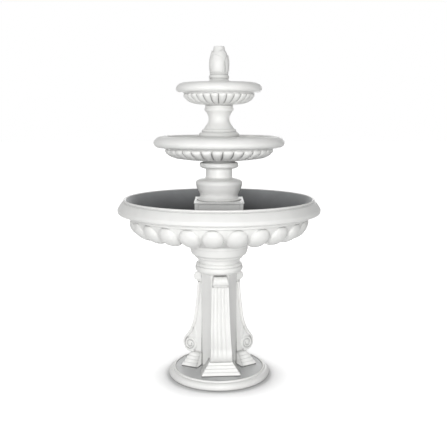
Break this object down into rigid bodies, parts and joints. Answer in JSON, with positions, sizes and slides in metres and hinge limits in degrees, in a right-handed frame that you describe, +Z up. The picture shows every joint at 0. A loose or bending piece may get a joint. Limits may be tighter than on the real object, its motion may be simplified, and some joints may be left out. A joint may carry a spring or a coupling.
{
  "type": "tabletop water fountain",
  "caption": "White cast-resin tabletop fountain with a wide basin on a scroll-legged pedestal, two smaller gadrooned bowls, a bud finial and a recirculating pump under the plinth.",
  "frame": {"origin": "on the floor, at the middle of the base", "axes": "+Z up along the stem, -Y towards the front leg, +X to the viewer's right"},
  "size_m": [0.366, 0.366, 0.6],
  "materials": {
    "cast_resin": "satin white paint over stone-filled cast resin",
    "lining_coat": "brushed grey waterproof lining inside the basin",
    "rubber": "matte moulded",
    "stainless_steel": "brushed",
    "pump_plastic": "matte moulded black",
    "riser_brass": "drawn and turned"
  },
  "bodies": {
    "base": {"base_plate": "cast_resin", "base_pads": "rubber", "leg_screws": "stainless_steel", "pedestal_core": "cast_resin", "leg_dowels": "stainless_steel", "cable_grommet": "rubber", "leg_front": "cast_resin", "leg_back_right": "cast_resin", "leg_back_left": "cast_resin", "pedestal_collar": "cast_resin", "collar_screws": "stainless_steel", "basin": "cast_resin", "basin_screws": "stainless_steel", "basin_seals": "rubber", "cable_bung": "rubber", "pump_body": "pump_plastic", "spindle_bushes": "pump_plastic", "spindle": "stainless_steel", "strainer": "pump_plastic", "suction_cups": "rubber", "outlet_seal": "rubber"},
    "stack": {"plinth": "cast_resin", "lower_stem": "cast_resin", "middle_bowl": "cast_resin", "upper_stem": "cast_resin", "top_bowl": "cast_resin", "riser_pipe": "riser_brass", "clamp_washers": "stainless_steel", "clamp_nuts": "riser_brass", "stem_seals": "rubber", "nozzle": "riser_brass"},
    "finial": {"finial": "cast_resin"},
    "impeller": {"impeller": "pump_plastic"},
    "flow_dial": {"flow_dial": "pump_plastic"}
  },
  "joints": [
    {"name": "stack_lift", "type": "slide", "parent": "base", "child": "stack", "axis": [0, 0, 1], "range_m": [0, 0.1]},
    {"name": "finial_lift", "type": "slide", "parent": "stack", "child": "finial", "axis": [0, 0, 1], "range_m": [0, 0.1]},
    {"name": "impeller_spin", "type": "hinge", "parent": "base", "child": "impeller", "pos_m": [0, 0, 0.2825], "axis": [0, 1, 0], "continuous": true},
    {"name": "flow_dial_turn", "type": "hinge", "parent": "base", "child": "flow_dial", "pos_m": [0, -0.0303, 0.2905], "axis": [0, 1, 0], "range_deg": [0, 90]}
  ]
}
